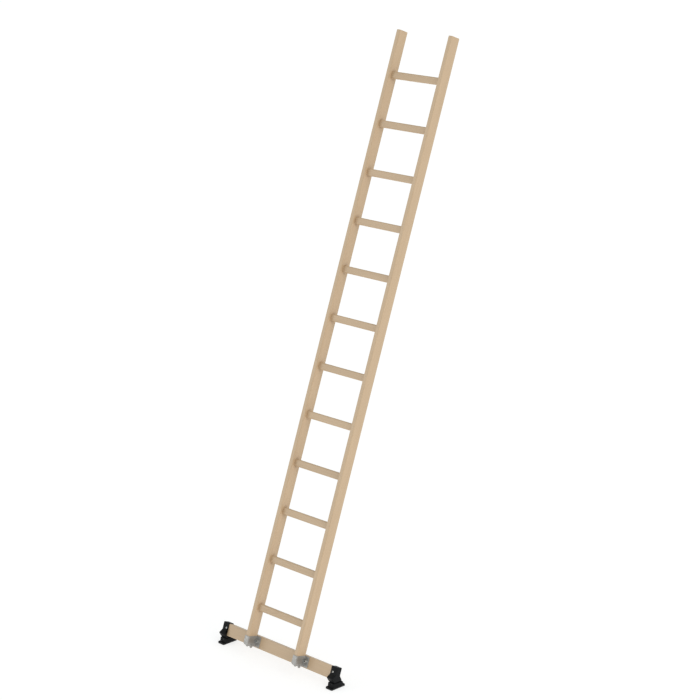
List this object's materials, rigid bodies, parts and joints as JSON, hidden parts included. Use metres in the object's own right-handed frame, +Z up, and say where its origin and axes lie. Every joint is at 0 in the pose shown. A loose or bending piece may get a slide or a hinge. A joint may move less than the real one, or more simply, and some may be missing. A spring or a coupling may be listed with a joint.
{
  "type": "wooden leaning ladder",
  "caption": "Single-section wooden rung ladder with a wide stabiliser crossbar bolted behind the foot of its stiles and a two-way tilting rubber-soled shoe on each end of the bar.",
  "frame": {"origin": "on the floor, midway between the two soles and halfway along them", "axes": "+Z up; X along the rungs; the ladder leans back towards +Y at 70 degrees to the floor"},
  "size_m": [0.931, 1.2821, 3.4233],
  "materials": {
    "ladder_wood": "clear-lacquered planed spruce",
    "crossbar_wood": "clear-lacquered planed spruce",
    "galvanised_sheet": "galvanised, dull",
    "zinc_plated_steel": "bright zinc plate",
    "black_nylon": "moulded, fine grain",
    "tilt_block_nylon": "moulded, smooth",
    "sole_rubber": "matt rubber"
  },
  "bodies": {
    "ladder": {"bracket_bolts": "zinc_plated_steel", "bracket_left": "galvanised_sheet", "bracket_nuts": "zinc_plated_steel", "bracket_right": "galvanised_sheet", "bracket_washers": "zinc_plated_steel", "crossbar": "crossbar_wood", "rung_01": "ladder_wood", "rung_02": "ladder_wood", "rung_03": "ladder_wood", "rung_04": "ladder_wood", "rung_05": "ladder_wood", "rung_06": "ladder_wood", "rung_07": "ladder_wood", "rung_08": "ladder_wood", "rung_09": "ladder_wood", "rung_10": "ladder_wood", "rung_11": "ladder_wood", "rung_12": "ladder_wood", "shoe_bolts": "zinc_plated_steel", "shoe_holder_left": "black_nylon", "shoe_holder_right": "black_nylon", "shoe_nuts": "zinc_plated_steel", "stile_left": "ladder_wood", "stile_right": "ladder_wood", "stop_pin_left": "zinc_plated_steel", "stop_pin_right": "zinc_plated_steel", "tilt_pin_left": "zinc_plated_steel", "tilt_pin_right": "zinc_plated_steel"},
    "tilt_block_left": {"tilt_block_left": "tilt_block_nylon"},
    "shoe_left": {"roll_pin_left": "zinc_plated_steel", "shoe_left": "black_nylon", "sole_pad_left": "sole_rubber", "sole_screws_left": "zinc_plated_steel"},
    "tilt_block_right": {"tilt_block_right": "tilt_block_nylon"},
    "shoe_right": {"roll_pin_right": "zinc_plated_steel", "shoe_right": "black_nylon", "sole_pad_right": "sole_rubber", "sole_screws_right": "zinc_plated_steel"}
  },
  "joints": [
    {"name": "shoe_tilt_left", "type": "hinge", "parent": "ladder", "child": "tilt_block_left", "pos_m": [-0.4405, 0.0005, 0.0293], "axis": [1, 0, 0], "range_deg": [-5, 5]},
    {"name": "shoe_roll_left", "type": "hinge", "parent": "tilt_block_left", "child": "shoe_left", "pos_m": [-0.4405, 0.0005, 0.0218], "axis": [0, 1, 0], "range_deg": [-3, 3]},
    {"name": "shoe_tilt_right", "type": "hinge", "parent": "ladder", "child": "tilt_block_right", "pos_m": [0.4405, 0.0005, 0.0293], "axis": [1, 0, 0], "range_deg": [-5, 5]},
    {"name": "shoe_roll_right", "type": "hinge", "parent": "tilt_block_right", "child": "shoe_right", "pos_m": [0.4405, 0.0005, 0.0218], "axis": [0, 1, 0], "range_deg": [-3, 3]}
  ]
}
